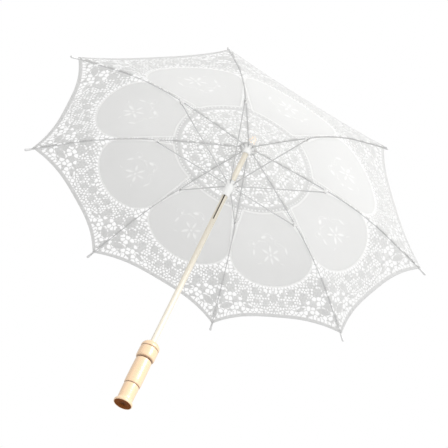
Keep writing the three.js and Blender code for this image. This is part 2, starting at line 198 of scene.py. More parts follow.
class Finish:
    """A material under construction."""

    def __init__(self, name):
        self.material = bpy.data.materials.new(name)
        self.material.use_nodes = True
        self.tree = self.material.node_tree
        self.tree.nodes.clear()

    def node(self, kind, settings=None, inputs=None, output=0):
        """Adds a node of a kind, sets its properties, feeds its sockets and returns one output."""
        made = self.tree.nodes.new(kind)
        for name, value in (settings or {}).items():
            setattr(made, name, value)
        for name, value in (inputs or {}).items():
            if isinstance(value, Wire):
                self.tree.links.new(value.socket, made.inputs[name])
            else:
                made.inputs[name].default_value = value
        return Wire(self, made.outputs[output])

    def mix(self, share, low, high):
        """The colour low where share is 0 and high where it is 1."""
        settings = {"data_type": "RGBA"}
        inputs = {0: share, 6: low, 7: high}
        return self.node("ShaderNodeMix", settings, inputs, output=2)

    def noise(self, where, scale, detail=3.0, roughness=0.55):
        """Soft random spots, as a number from 0 to 1."""
        inputs = {"Vector": where, "Scale": scale, "Detail": detail, "Roughness": roughness}
        return self.node("ShaderNodeTexNoise", {}, inputs)

    def stretched(self, where, scale):
        """Coordinates scaled by three numbers, to draw a pattern out along one of them."""
        return self.node("ShaderNodeMapping", {}, {"Vector": where, "Scale": scale})

    def bump(self, height, depth, strength=1.0):
        """A normal for a height from 0 to 1 that stands for depth in metres."""
        inputs = {"Height": height, "Distance": depth, "Strength": strength}
        return self.node("ShaderNodeBump", {}, inputs)

    def surface(self, shader):
        """Sends a shader to the material's output and returns the material."""
        output = self.tree.nodes.new("ShaderNodeOutputMaterial")
        self.tree.links.new(shader.socket, output.inputs["Surface"])
        return self.material


print("finish helpers ready")

# %% [markdown]
# ## The finishes
#
# The wood is pale, straight grained and varnished, with dark lines in its grooves that are burn lines
# with painted shade. Its grain is noise that is drawn out a long way along the shaft. The cotton is a
# matt weave that lets some light through, so it is a Principled shader mixed with a Translucent one.
# Plastic, enamel and wire are plain colours whose gloss is broken by fine noise, because nothing that
# is handled stays even.


# %% Wood
def wood(name, pale, ripe, roughness, varnish, burnt_and_shaded_heights=(), shine=0.5):
    """Straight grain: noise stretched along Z, in two scales, with dark bands at some heights, which are
    burn lines with painted shade in the handle's grooves.
    """
    finish = Finish(name)
    place = finish.node("ShaderNodeTexCoord", {}, {}, output=3)
    fibres = finish.noise(finish.stretched(place, (900, 900, 14)), 1.0, 4.0)
    bands = finish.noise(finish.stretched(place, (120, 120, 5)), 1.0, 2.0)
    share = fibres * 0.45 + bands * 0.75 - 0.1
    colour = finish.mix(share, pale, ripe)
    height = finish.node("ShaderNodeSeparateXYZ", {}, {0: place}, output=2)
    scorch_and_shade = None
    for at, reach in burnt_and_shaded_heights:
        off = (height - at) / reach
        line = finish.node("ShaderNodeMath", {"operation": "EXPONENT"}, {0: off * off * -1.0})
        scorch_and_shade = line if scorch_and_shade is None else scorch_and_shade + line
    # The lines at the given heights darken the wood to near black: burn marks together with painted shade
    # in the grooves.
    if scorch_and_shade is not None:
        scorch_and_shade = scorch_and_shade * (bands * 0.5 + 0.62)
        scorch_and_shade = finish.node("ShaderNodeClamp", {}, {0: scorch_and_shade})
        colour = finish.mix(scorch_and_shade, colour, (0.085, 0.03, 0.008, 1))
    normal = finish.bump(fibres, 0.00012, 0.5)
    shader = finish.node("ShaderNodeBsdfPrincipled", {}, {
        "Base Color": colour, "Roughness": fibres * 0.16 + (roughness - 0.08), "Normal": normal,
        "Coat Weight": varnish, "Coat Roughness": 0.12, "Specular IOR Level": shine})
    return finish.surface(shader)


# Heights of the handle's grooves in mm, which its profile uses too.
GRIP_TOP, BARREL_TOP, COLLAR_TOP = 36.7, 89.4, 115.4
# Dark lines at three grooves: burn lines with painted shade in them.
burn_and_shade_lines = [((GRIP_TOP + 0.6) * MM, 0.8 * MM), ((BARREL_TOP + 1.1) * MM, 1.5 * MM),
         ((COLLAR_TOP - 2.2) * MM, 0.8 * MM)]
PALE_BEECH, RIPE_BEECH = (0.88, 0.65, 0.43, 1), (0.79, 0.54, 0.34, 1)
handle_wood = wood("handle_wood", PALE_BEECH, RIPE_BEECH, 0.34, 0.5, burn_and_shade_lines)
finial_wood = wood("finial_wood", PALE_BEECH, RIPE_BEECH, 0.34, 0.5)
shaft_wood = wood("shaft_wood", (0.83, 0.775, 0.67, 1), (0.76, 0.70, 0.58, 1), 0.42, 0.2)
dark_wood = wood("dark_wood", (0.20, 0.062, 0.012, 1), (0.12, 0.034, 0.007, 1), 0.6, 0.0, shine=0.05)
print("wood finishes:", [m.name for m in bpy.data.materials])


# %% Plastic, enamel, wire and thread
def plain_finish(name, colour, worn, roughness, metallic=0.0, grain=400.0, depth=0.00003):
    """One colour with faint wear: broad noise shades it, and fine noise breaks its gloss."""
    finish = Finish(name)
    place = finish.node("ShaderNodeTexCoord", {}, {}, output=3)
    wear = finish.noise(place, 60.0, 4.0)
    fine = finish.noise(place, grain, 2.0)
    shader = finish.node("ShaderNodeBsdfPrincipled", {}, {
        "Base Color": finish.mix(wear, colour, worn), "Metallic": metallic,
        "Roughness": fine * 0.2 + (roughness - 0.1), "Normal": finish.bump(fine, depth)})
    return finish.surface(shader)


white_plastic = plain_finish("white_plastic", (0.95, 0.95, 0.945, 1), (0.88, 0.88, 0.87, 1), 0.36)
# The tips' plastic is the white plastic greyed down: painted shade.
shaded_tip_plastic = plain_finish("shaded_tip_plastic", (0.70, 0.70, 0.70, 1), (0.60, 0.60, 0.60, 1), 0.45)
rib_enamel = plain_finish("rib_enamel", (0.66, 0.66, 0.66, 1), (0.52, 0.52, 0.52, 1), 0.4, 0.1)
ring_wire = plain_finish("ring_wire", (0.52, 0.53, 0.55, 1), (0.38, 0.38, 0.40, 1), 0.3, 0.9)
# Near black: dark steel, and painted shade for the deep slot that the spring fills.
spring_steel = plain_finish("spring_steel", (0.05, 0.045, 0.04, 1), (0.1, 0.07, 0.05, 1), 0.4, 0.8)
print("plain finishes: plastic, enamel, wire, steel")


# %% Cotton
def cotton(name, colour, thread_pitch, depth, see_through):
    """A weave of two crossing waves on the cloth's own map, which is laid out in metres."""
    finish = Finish(name)
    cloth = finish.node("ShaderNodeTexCoord", {}, {}, output=2)
    across = finish.node("ShaderNodeSeparateXYZ", {}, {0: cloth}, output=0)
    along = finish.node("ShaderNodeSeparateXYZ", {}, {0: cloth}, output=1)
    waves = []
    for run in (across, along):
        turns = run * (2 * math.pi / thread_pitch)
        waves.append(finish.node("ShaderNodeMath", {"operation": "SINE"}, {0: turns}))
    weave = waves[0] * waves[1] * 0.5 + 0.5
    slubs = finish.noise(finish.stretched(cloth, (90, 600, 1)), 1.0, 3.0)
    shade = finish.noise(cloth, 28.0, 2.0)
    low = tuple(0.955 * c for c in colour[:3]) + (1.0,)
    tint = finish.mix(slubs * 0.5 + shade * 0.5, low, colour)
    white = finish.node("ShaderNodeAttribute", {"attribute_name": "white"}, {}, output=2)
    tint = finish.mix(finish.node("ShaderNodeClamp", {}, {0: white}), tint, (0.985, 0.985, 0.98, 1))
    # Below zero the attribute greys the cloth: painted shade in the lace's solid parts and the grooves
    # between their ridges, with a slight grey on all the thread.
    dark = finish.node("ShaderNodeClamp", {}, {0: white * -1.0})
    tint = finish.mix(dark, tint, (0.55, 0.55, 0.55, 1))
    normal = finish.bump(weave * 0.7 + slubs * 0.6, depth, 0.6)
    front = finish.node("ShaderNodeBsdfPrincipled", {}, {
        "Base Color": tint, "Roughness": slubs * 0.15 + 0.8, "Normal": normal,
        "Sheen Weight": 0.15, "Sheen Roughness": 0.4, "Specular IOR Level": 0.25})
    back = finish.node("ShaderNodeBsdfTranslucent", {}, {"Color": tint, "Normal": normal})
    return finish.surface(finish.node("ShaderNodeMixShader", {}, {0: see_through, 1: front, 2: back}))


THREAD_PITCH = 0.8
THREAD_DEPTH = 0.12
lace_cotton = cotton("lace_cotton", (0.90, 0.90, 0.895, 1), THREAD_PITCH * MM, THREAD_DEPTH * MM, 0.54)
print("cotton thread pitch in mm:", THREAD_PITCH)

# %% [markdown]
# ## Meshes from arrays
#
# A surface here is a grid of points worked out with numpy, and its faces are the same for every grid.
# `Shape` keeps points and faces, and adding two shapes puts them side by side in one mesh.


# %% Shapes
class Shape:
    """Points and four-sided faces. A face whose last two corners are one point is a triangle."""

    def __init__(self, points, faces):
        self.points = np.asarray(points, float).reshape(-1, 3)
        self.faces = np.asarray(faces, int).reshape(-1, 4)

    def __add__(self, other):
        faces = np.vstack([self.faces, other.faces + len(self.points)])
        return Shape(np.vstack([self.points, other.points]), faces)

    def moved(self, x=0.0, y=0.0, z=0.0):
        return Shape(self.points + (x, y, z), self.faces)

    def turned_by(self, axis, angle):
        """Turned about the axis 'x', 'y' or 'z' through the origin, anticlockwise."""
        a, b = {"x": (1, 2), "y": (2, 0), "z": (0, 1)}[axis]
        points = self.points.copy()
        points[:, a] = self.points[:, a] * math.cos(angle) - self.points[:, b] * math.sin(angle)
        points[:, b] = self.points[:, a] * math.sin(angle) + self.points[:, b] * math.cos(angle)
        return Shape(points, self.faces)


def grid_faces(rows, columns, close_rows=False):
    """The faces between neighbouring points of rows, whose columns run round and close."""
    row = np.arange(rows if close_rows else rows - 1)[:, None]
    column = np.arange(columns)[None, :]
    after = (row + 1) % rows
    beside = (column + 1) % columns
    corners = [row * columns + column, row * columns + beside,
               after * columns + beside, after * columns + column]
    return np.stack(np.broadcast_arrays(*corners), -1).reshape(-1, 4)


def tube_shape(rings, closed=False):
    """A skin over rings of points; unless it closes on itself, each end is a fan to its middle."""
    rings = np.asarray(rings, float)
    rows, columns = rings.shape[:2]
    skin = Shape(rings.reshape(-1, 3), grid_faces(rows, columns, closed))
    if closed:
        return skin
    beside = (np.arange(columns) + 1) % columns
    for row, forward in ((0, False), (rows - 1, True)):
        rim = row * columns + np.arange(columns)
        middle = len(skin.points)
        skin.points = np.vstack([skin.points, rings[row].mean(0)])
        ends = (rim, rim[beside]) if forward else (rim[beside], rim)
        fan = np.stack([*ends, np.full(columns, middle), np.full(columns, middle)], -1)
        skin.faces = np.vstack([skin.faces, fan])
    return skin


def turned(profile, sides=64, closed=False):
    """A turned shape about Z. profile is (radius, height) pairs, up the outside."""
    radius, height = np.asarray(profile, float).T
    angle = 2 * math.pi * np.arange(sides) / sides
    x = radius[:, None] * np.cos(angle)
    y = radius[:, None] * np.sin(angle)
    z = np.broadcast_to(height[:, None], x.shape)
    return tube_shape(np.stack([x, y, z], -1), closed)


def softened(corners, bite, steps=4, closed=False):
    """A line through corners with each one rounded: a parabola from a point before it to one after."""
    corners = np.asarray(corners, float)
    before = np.roll(corners, 1, 0)
    after = np.roll(corners, -1, 0)
    t = np.linspace(0, 1, steps)[None, :, None]

    def toward(other):
        gap = other - corners
        length = np.linalg.norm(gap, axis=1, keepdims=True)
        return corners + gap * np.minimum(bite / np.maximum(length, 1e-9), 0.45)

    start, end = toward(before)[:, None], toward(after)[:, None]
    middle = corners[:, None]
    curve = (1 - t) ** 2 * start + 2 * t * (1 - t) * middle + t ** 2 * end
    if closed:
        return curve.reshape(-1, corners.shape[1])
    inner = curve[1:-1].reshape(-1, corners.shape[1])
    return np.vstack([corners[:1], inner, corners[-1:]])


def wire_along(path, radius, sides=10):
    """A round wire along a path. Each ring stands square to the path, turned from ring to ring by
    taking away from the last ring's side what lies along the new direction."""
    path = np.asarray(path, float)
    radius = np.broadcast_to(radius, len(path))
    forward = np.gradient(path, axis=0)
    forward /= np.linalg.norm(forward, axis=1, keepdims=True)
    side = np.cross(forward[0], (0.3, 1.0, 0.2))
    angle = 2 * math.pi * np.arange(sides) / sides
    rings = []
    for centre, ahead, size in zip(path, forward, radius):
        side = unit(side - ahead * (side @ ahead))
        other = np.cross(ahead, side)
        rings.append(centre + size * (np.outer(np.cos(angle), side) + np.outer(np.sin(angle), other)))
    return tube_shape(rings)


def flat_plate(outline, thickness, rounding):
    """A plate drawn in the upright plane (x, z), thickness across y, with its two rims rounded by
    drawing the outline a little smaller on both faces."""
    outline = np.asarray(outline, float)
    middle = outline.mean(0)
    half = thickness / 2
    size = np.abs(outline - middle).max()
    shrink = 1 - rounding / size
    layers = []
    for y, scale in ((-half, shrink), (rounding - half, 1), (half - rounding, 1), (half, shrink)):
        flat = middle + (outline - middle) * scale
        layers.append(np.column_stack([flat[:, 0], np.full(len(flat), y), flat[:, 1]]))
    return tube_shape(layers)


def put(name, shape, material):
    """Makes a smooth mesh object of a shape, in metres where it stands, with its finish."""
    mesh = bpy.data.meshes.new(name)
    faces = shape.faces
    three = faces[:, 2] == faces[:, 3]
    sizes = np.where(three, 3, 4)
    keep = np.ones(faces.shape, bool)
    keep[three, 3] = False
    loops = faces[keep]
    mesh.vertices.add(len(shape.points))
    mesh.vertices.foreach_set("co", shape.points.astype(np.float32).ravel())
    mesh.loops.add(len(loops))
    mesh.loops.foreach_set("vertex_index", loops.astype(np.int32))
    mesh.polygons.add(len(faces))
    mesh.polygons.foreach_set("loop_start", (np.cumsum(sizes) - sizes).astype(np.int32))
    mesh.update(calc_edges=True)
    mesh.validate()
    mesh.polygons.foreach_set("use_smooth", np.ones(len(mesh.polygons), bool))
    mesh.materials.append(material)
    made = bpy.data.objects.new(name, mesh)
    bpy.context.collection.objects.link(made)
    return made


print("shape helpers ready")

# %% [markdown]
# ## The line of a rib
#
# A rib leaves the crown at a gentle slope, bends down a little to its joint and more beyond it, and
# ends straight. Two arcs and a straight line give it, so a point of it is a sum of steps of equal
# length, each falling by the slope at that distance. The hinge ring and the tips give its two ends.

# %% Rib line
HINGE_SLOPE, JOINT_SLOPE, TIP_SLOPE = (math.radians(a) for a in (14.5, 17.5, 34))
INNER_RIB = 176 * MM
RIB_BEND = 150 * MM
WIRE = 1.1 * MM
joints = {joint["name"]: joint for joint in frame["joints"]}
ring_radius, _, ring_height = joints["canopy_fold"]["pos_m"]
joint_x, _, joint_height = joints["rib_1_flex"]["pos_m"]
pin_x, _, pin_height = joints["stretcher_1_swing"]["pos_m"]
runner_height = joints["runner_slide"]["pos_m"][2]
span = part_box("rib_1_tip")[1].x
STEP = 0.05 * MM
steps = np.arange(0, 0.5, STEP)
slope = np.interp(steps, [0, INNER_RIB, INNER_RIB + RIB_BEND], [HINGE_SLOPE, JOINT_SLOPE, TIP_SLOPE])
rib_x = ring_radius + np.concatenate([[0], np.cumsum(np.cos(slope[:-1] + 0.5 * np.diff(slope)))]) * STEP
rib_z = ring_height - np.concatenate([[0], np.cumsum(np.sin(slope[:-1] + 0.5 * np.diff(slope)))]) * STEP
rib_length = float(np.interp(span, rib_x, steps))


def rib_at(distance):
    """Radius, height and slope of a rib's middle line at a distance along it."""
    return tuple(np.interp(distance, steps, line) for line in (rib_x, rib_z, slope))


def distance_at(radius):
    """Distance along a rib to where it is a radius away from the shaft."""
    return np.interp(radius, rib_x, steps)


print("rib length in mm:", round(rib_length / MM, 1))
print("joint miss in mm:", round((rib_at(INNER_RIB)[0] - joint_x) / MM, 3))

# %% [markdown]
# ## Handle, end cap, shaft and finial
#
# These are turned on a lathe, so each is a profile carried round the shaft. The handle's outline keeps
# the fitted part's sizes, with its corners rounded. The cap in its end is darker wood.


# %% Turned wood
def profile_mm(*pairs):
    """(radius, height) pairs in millimetres as an array in metres."""
    return np.array(pairs) * MM


HANDLE_TOP = 126.8
SOCKET_FLOOR = 40
BORE = 5.65
END_RECESS = 2.7
END_RIM = 14.9
handle_line = softened(profile_mm(
    (0, END_RECESS), (END_RIM, END_RECESS), (END_RIM, 0.15), (15.6, 0), (16.4, 0.9), (16.4, 3.6),
    (15.4, 4.9), (14.0, 6.6), (13.2, 10), (13.4, 17), (13.5, 26),
    (13.7, GRIP_TOP - 0.9), (12.7, GRIP_TOP + 0.6), (14.4, GRIP_TOP + 2.1), (14.7, 47), (14.65, 68),
    (14.4, BARREL_TOP - 1), (12.6, BARREL_TOP + 0.1), (12.6, BARREL_TOP + 1.6), (15.8, BARREL_TOP + 3),
    (16.5, BARREL_TOP + 6.1), (16.5, COLLAR_TOP - 4), (15.6, COLLAR_TOP - 2.2), (16.6, COLLAR_TOP - 0.5),
    (16.5, COLLAR_TOP + 2.6), (15.2, COLLAR_TOP + 5.8), (12.4, COLLAR_TOP + 9), (8.4, HANDLE_TOP),
    (BORE, HANDLE_TOP), (BORE, SOCKET_FLOOR), (0, SOCKET_FLOOR)), 1.2 * MM)
handle = put("turned_handle", turned(handle_line, 96), handle_wood)
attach(handle, "shaft")
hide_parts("handle")
cap_line = softened(profile_mm((0, 2.4), (14.6, 2.4), (14.6, 0), (12.5, 0.25), (0, 0.5))[::-1], 0.6 * MM)
end_cap = put("end_cap", turned(cap_line, 96), dark_wood)
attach(end_cap, "shaft")
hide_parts("handle_end_cap")


# %% Shaft with its slot
def slotted_rod(radius, bottom, top, slot_low, slot_high, slot_width, slot_floor):
    """A rod whose rings are circles, but C-shaped between two heights: six points of each ring, those
    that face -Y, go along the circle outside the slot and down its walls and floor inside it."""
    half = slot_width / 2
    mouth = math.asin(half / radius)
    round_part = np.linspace(-math.pi / 2 + mouth, 1.5 * math.pi - mouth, 48)
    circle = radius * np.stack([np.cos(round_part), np.sin(round_part)], -1)
    across = np.array([-0.98, -0.9, -0.3, 0.3, 0.9, 0.98]) * half
    closed = np.stack([across, -np.sqrt(radius ** 2 - across ** 2)], -1)
    wall = np.array([-1, -1, -0.3, 0.3, 1, 1]) * half
    depth = np.array([-radius * 0.9, slot_floor, slot_floor, slot_floor, slot_floor, -radius * 0.9])
    opened = np.stack([wall, depth], -1)
    heights = [bottom, slot_low, slot_low, slot_high, slot_high, top]
    rings = []
    for height, inner in zip(heights, (closed, closed, opened, opened, closed, closed)):
        flat = np.vstack([circle, inner])
        rings.append(np.column_stack([flat, np.full(len(flat), height)]))
    return tube_shape(rings)


shaft_low, shaft_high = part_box("shaft")
shaft_radius = shaft_high.x
runner_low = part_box("runner")[0]
SLOT_LENGTH = 64 * MM
SLOT_WIDTH = 2.4 * MM
SLOT_FLOOR = 0.95 * MM
slot_high = runner_low.z + 2 * MM
rod = slotted_rod(shaft_radius, shaft_low.z, shaft_high.z, slot_high - SLOT_LENGTH, slot_high,
                  SLOT_WIDTH, SLOT_FLOOR)
shaft = put("slotted_shaft", rod, shaft_wood)
shaft.data.set_sharp_from_angle(angle=math.radians(40))
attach(shaft, "shaft")
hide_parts("shaft")
print("shaft radius in mm:", round(shaft_radius / MM, 2))

# %% Finial
finial_low, finial_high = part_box("finial")
finial_size = np.array([finial_high.x, finial_high.z - finial_low.z])
# Shares of the finial's radius and of its height, from the floor of its hole up its outside.
FINIAL_SHARES = np.array([
    (0, 0.5), (0.72, 0.5), (0.72, 0), (0.9, 0), (1, 0.04), (1, 0.13), (0.84, 0.19), (0.94, 0.28),
    (1, 0.45), (0.97, 0.64), (0.85, 0.81), (0.56, 0.93), (0.28, 0.985), (0, 1)])
knob = softened(FINIAL_SHARES * finial_size + (0, finial_low.z), 1.0 * MM)
finial = put("turned_finial", turned(knob, 72), finial_wood)
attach(finial, "shaft")
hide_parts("finial")
print("finial height in mm:", round(finial_size[1] / MM, 1))

# %% [markdown]
# ## Crown and runner
#
# Both are the same moulding: a sleeve on the shaft with a flange. A groove round the flange holds a
# wire ring, and a slot for each rib cuts across it, so that the rib's eye can turn on the ring. The
# moulding is a closed profile carried round, whose radius drops to the slot's floor inside a slot.


# %% Hubs
def hub(bore, sleeve, flange, below, above, ring_at, slot_half, key_radius=0.0):
    """A closed profile carried round Z. Round each slot the ring has four stations: the corner outside,
    the wall's foot, the other foot and the other corner, so its walls stay parallel. A key_radius cuts
    a keyway that deep into the bore, facing -Y."""
    groove = 0.8 * MM
    half = 2.6 * MM     # of the flange's height
    profile = softened(np.array([
        (bore, -below), (sleeve, -below), (sleeve, -half - 2 * MM), (flange - 1.4 * MM, -half),
        (flange, 0.8 * MM - half), (flange, -groove), (ring_at - groove, -groove),
        (ring_at - groove, groove), (flange, groove), (flange, half - 0.8 * MM),
        (flange - 0.8 * MM, half), (sleeve, half), (sleeve, above), (bore, above)]), 0.5 * MM, 3, True)
    radius, height = profile.T
    floor = ring_at - 2.5 * MM
    low = np.minimum(radius, floor)
    rings = []
    for k in range(RIBS):
        middle = 2 * HALF_GORE * k
        lips = [(low, np.arcsin(slot_half / low)), (radius, np.arcsin(slot_half / radius))]
        rings += [(lips[1][0], middle - lips[1][1]), (lips[0][0], middle - lips[0][1]),
                  (lips[0][0], middle + lips[0][1]), (lips[1][0], middle + lips[1][1])]
        edge = lips[1][1]
        for share in (0.2, 0.4, 0.6, 0.8):
            rings.append((radius, middle + edge + (2 * HALF_GORE - 2 * edge) * share))
    points = [np.stack([r * np.cos(a), r * np.sin(a), height], -1) for r, a in rings]
    if key_radius:
        points = np.array(points)
        inner = points[..., :2] @ [0, -1]
        near = (np.abs(points[..., 0]) < 1.6 * MM) & (inner > 0) & (inner < key_radius)
        points[..., 1] = np.where(near, -key_radius, points[..., 1])
    return tube_shape(np.array(points)[::-1], closed=True)


def wire_ring(radius, wire, height):
    """A round wire bent into a circle about Z."""
    angle = 2 * math.pi * np.arange(16) / 16
    section = np.stack([radius + wire * np.cos(angle), height + wire * np.sin(angle)], -1)
    return turned(section, 96, closed=True)


SLEEVE = 7.9 * MM
RIB_SLOT_HALF = 1.4 * MM
RUNNER_BORE = 5.8 * MM
SPRING_WAY = 7.05 * MM      # the runner's groove that lets the spring's nose by
RING_WIRE = 0.5 * MM
for body, name, height, bore, key in (
        ("shaft", "crown", ring_height, BORE * MM, 0.0),
        ("runner", "runner", runner_height, RUNNER_BORE, SPRING_WAY)):
    low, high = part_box(name)
    moulding = hub(bore, SLEEVE, high.x, height - low.z, high.z - height, ring_radius, RIB_SLOT_HALF, key)
    piece = put(f"moulded_{name}", moulding.moved(z=height), white_plastic)
    piece.data.set_sharp_from_angle(angle=math.radians(35))
    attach(piece, body)
    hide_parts(name)
    ring = put(f"{name}_ring", wire_ring(ring_radius, RING_WIRE, height), ring_wire)
    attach(ring, body)
    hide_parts(f"{name}_wire")

# %% Pins and the top spring
for node, name in (("crown_pin", "crown_rivet"), ("runner_stop_pin", "stop_rivet")):
    low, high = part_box(node)
    length = high.x - low.x
    radius = (high.z - low.z) / 2
    line = softened([(0, 0), (radius, 0), (radius, length), (0, length)], 0.5 * MM)
    shape = turned(line, 24).turned_by("y", math.pi / 2).moved(x=low.x, z=(low.z + high.z) / 2)
    pin = put(name, shape, ring_wire)
    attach(pin, "shaft")
    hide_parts(node)
spring_low, spring_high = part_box("top_spring")
nose = -spring_low.y
blade = softened([(2.2 * MM, spring_low.z), (3.4 * MM, spring_low.z), (4.8 * MM, spring_high.z - 15 * MM),
                  (nose, spring_high.z - 4.5 * MM), (nose, spring_high.z), (4 * MM, spring_high.z),
                  (3.6 * MM, spring_high.z - 14 * MM)], 0.8 * MM, 5, True)
plate = flat_plate(blade, spring_high.x - spring_low.x, 0.1 * MM).turned_by("z", -math.pi / 2)
spring = put("leaf_spring", plate, spring_steel)
spring.data.set_sharp_from_angle(angle=math.radians(40))
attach(spring, "top_spring")
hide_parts("top_spring")
print("spring stands out of the shaft in mm:", round((nose - shaft_radius) / MM, 2))

# %% [markdown]
# ## Ribs, stretchers, joints and tips
#
# A rib is one spring wire. It bends a little at its joint as the parasol closes; its mesh here is one
# piece on neither half's body. Its inner end is flattened into an eye. A small fitting is pinched on at
# the joint, and its two ears hold the pin of the stretcher's eye.


# %% Frame pieces in the plane of rib 1
def eye_ring(hole, outer, thickness, x, z):
    """The flattened round end of a wire with its hole across the rib's plane."""
    half = thickness / 2
    section = softened([(hole, -half), (outer, -half), (outer, half), (hole, half)], 0.4 * MM, 4, True)
    return turned(section, 32, closed=True).turned_by("x", math.pi / 2).moved(x=x, z=z)


EYE = 2.2 * MM
EYE_THICKNESS = 2 * MM
RING_HOLE = 0.9 * MM
PIN_HOLE = 1.05 * MM
EYE_INSET = 1.5 * MM        # from an eye's middle to where its wire starts
CAP_LENGTH = 13.5


def rib_wire():
    """The wire from its eye to inside the tip, along the rib's line."""
    along = np.linspace(EYE_INSET, rib_length - 6 * MM, 110)
    x, z, _ = rib_at(along)
    path = np.stack([x, 0 * x, z], -1)
    return wire_along(path, WIRE, 12) + eye_ring(RING_HOLE, EYE, EYE_THICKNESS, ring_radius, ring_height)


def joint_fitting():
    """A rounded sleeve on the wire, two ears below it and a headed pin through them."""
    length = 10.6 * MM
    back, drop, ear = 5 * MM, 4.5 * MM, 2.7 * MM
    sleeve_line = softened([(0, 0), (1.35 * MM, 0), (1.75 * MM, 0.8 * MM), (1.75 * MM, length - 0.8 * MM),
                            (1.35 * MM, length), (0, length)], 0.4 * MM)
    shape = turned(sleeve_line, 20).turned_by("y", math.pi / 2).moved(x=-length - 0.3 * MM)
    foot = np.linspace(math.pi, 2 * math.pi, 13)
    outline = np.vstack([[(-back - ear - 1.2 * MM, 0.9 * MM)],
                         np.stack([-back + ear * np.cos(foot), -drop + ear * np.sin(foot)], -1),
                         [(-back + ear + 1.2 * MM, 0.9 * MM)]])
    for side in (-1, 1):
        shape = shape + flat_plate(outline, 1.4 * MM, 0.25 * MM).moved(y=side * 2.2 * MM)
    pin_line = softened([(0, -3 * MM), (0.9 * MM, -3 * MM), (0.75 * MM, -2.6 * MM), (0.75 * MM, 2.6 * MM),
                         (0.9 * MM, 3 * MM), (0, 3 * MM)], 0.2 * MM)
    shape = shape + turned(pin_line, 16).turned_by("x", math.pi / 2).moved(x=-back, z=-drop)
    return shape.turned_by("y", JOINT_SLOPE).moved(x=joint_x, z=joint_height)


def tip_cap():
    """A moulded cap on the rib's end, a little thicker towards its rounded end."""
    line = softened(profile_mm(
        (0, 3), (1.4, 3), (1.4, 0), (2.0, 0), (2.2, 0.6), (2.2, 4.5), (2.6, CAP_LENGTH - 4.5),
        (2.6, CAP_LENGTH - 1.9), (1.7, CAP_LENGTH - 0.1), (0, CAP_LENGTH)), 0.9 * MM)
    x, z, _ = rib_at(rib_length - CAP_LENGTH * MM)
    return turned(line, 24).turned_by("y", math.pi / 2 + TIP_SLOPE).moved(x=x, z=z)


def stretcher_wire():
    """A straight wire between the eye on the runner's ring and the eye on the joint's pin."""
    foot = np.array([ring_radius, 0, runner_height])
    head = np.array([pin_x, 0, pin_height])
    inset = unit(head - foot) * EYE_INSET
    path = np.linspace(foot + inset, head - inset, 12)
    low_eye = eye_ring(RING_HOLE, EYE, EYE_THICKNESS, ring_radius, runner_height)
    high_eye = eye_ring(PIN_HOLE, EYE, EYE_THICKNESS, pin_x, pin_height)
    return wire_along(path, WIRE, 12) + low_eye + high_eye


def thread_tie(distance, turns):
    """Sewing thread wound round the rib: a helix along the rib's line."""
    x, z, fall = rib_at(distance)
    angle = np.linspace(0, 2 * math.pi * turns, 14 * turns)
    ring = WIRE + 0.55 * MM
    along = np.linspace(-0.3 * MM * turns, 0.3 * MM * turns, len(angle))
    path = np.stack([along, ring * np.cos(angle), ring * np.sin(angle)], -1)
    return wire_along(path, 0.3 * MM, 6).turned_by("y", fall).moved(x=x, z=z)


# %% Eight of each
for k in range(RIBS):
    turn_by = 2 * HALF_GORE * k
    number = k + 1
    wire = put(f"rib_wire_{number}", rib_wire().turned_by("z", turn_by), rib_enamel)
    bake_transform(wire)
    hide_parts(f"rib_{number}", f"rib_{number}_outer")
    for name, shape, body, material, slot, nodes in (
            ("rib_joint", joint_fitting(), f"rib_{number}", white_plastic, "white_plastic", ()),
            ("rib_cap", tip_cap(), f"rib_{number}_outer", shaded_tip_plastic, "white_plastic",
             (f"rib_{number}_tip",)),
            ("stretcher_wire", stretcher_wire(), f"stretcher_{number}", rib_enamel, "rib_enamel",
             (f"stretcher_{number}",))):
        piece = put(f"{name}_{number}", shape.turned_by("z", turn_by), material)
        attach(piece, body)
        if nodes:
            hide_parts(*nodes)
print("frame pieces round the shaft:", RIBS * 4)

# %% [markdown]
# ## The canopy's cloth
#
# The canopy is tape lace: plain cotton petals edged with tape, and worked lace between them, from a
# round of lace at the crown to a taped hem. Each gore is pulled straight from rib to rib, so it bends
# in one direction only and could be laid flat without a crease. The pattern is drawn flat, with u
# running out from the shaft along the gore's middle and v sideways, and then laid on the curve, which
# keeps every thread its own length.

# %% Gore surface
FABRIC_RISE = 2.57 * MM     # the cloth's middle above the middle lines of the ribs
fall = np.arctan(np.tan(slope) / math.cos(HALF_GORE))
gore_out = rib_x * math.cos(HALF_GORE) + FABRIC_RISE * np.sin(fall)
gore_up = rib_z + FABRIC_RISE * np.cos(fall)
pace = np.hypot(np.diff(gore_out), np.diff(gore_up))
gore_u = gore_out[0] / math.cos(fall[0]) + np.concatenate([[0], np.cumsum(pace)])


def u_at(distance):
    """The flat pattern's u for a distance along the ribs."""
    return np.interp(distance, steps, gore_u)


def half_width(u):
    """Half of a gore's width at u: the seams lie on the two ribs."""
    return np.interp(u, gore_u, gore_out) * math.tan(HALF_GORE)


def on_gore(u, v, lift, azimuth):
    """Points of the gore for flat places, lifted off its middle surface along its normal."""
    out = np.interp(u, gore_u, gore_out)
    height = np.interp(u, gore_u, gore_up)
    tilt = np.interp(u, gore_u, fall)
    out = out + lift * np.sin(tilt)
    x = out * math.cos(azimuth) - v * math.sin(azimuth)
    y = out * math.sin(azimuth) + v * math.cos(azimuth)
    return np.stack([x, y, height + lift * np.cos(tilt)], -1)


HOLE_RADIUS = 15.7 * MM
HEM_SCALLOP = 19.2 * MM
HEM_INSET = 2.2 * MM        # the hem's corners, short of the caps
hem_corner = float(rib_at(rib_length - CAP_LENGTH * MM)[0]) - HEM_INSET
hole_u = float(u_at(distance_at(HOLE_RADIUS)))
seam_u = float(u_at(INNER_RIB))
hem_corner_u = float(u_at(distance_at(hem_corner)))
hem_middle_u = float(u_at(distance_at(hem_corner - HEM_SCALLOP / math.cos(HALF_GORE))))


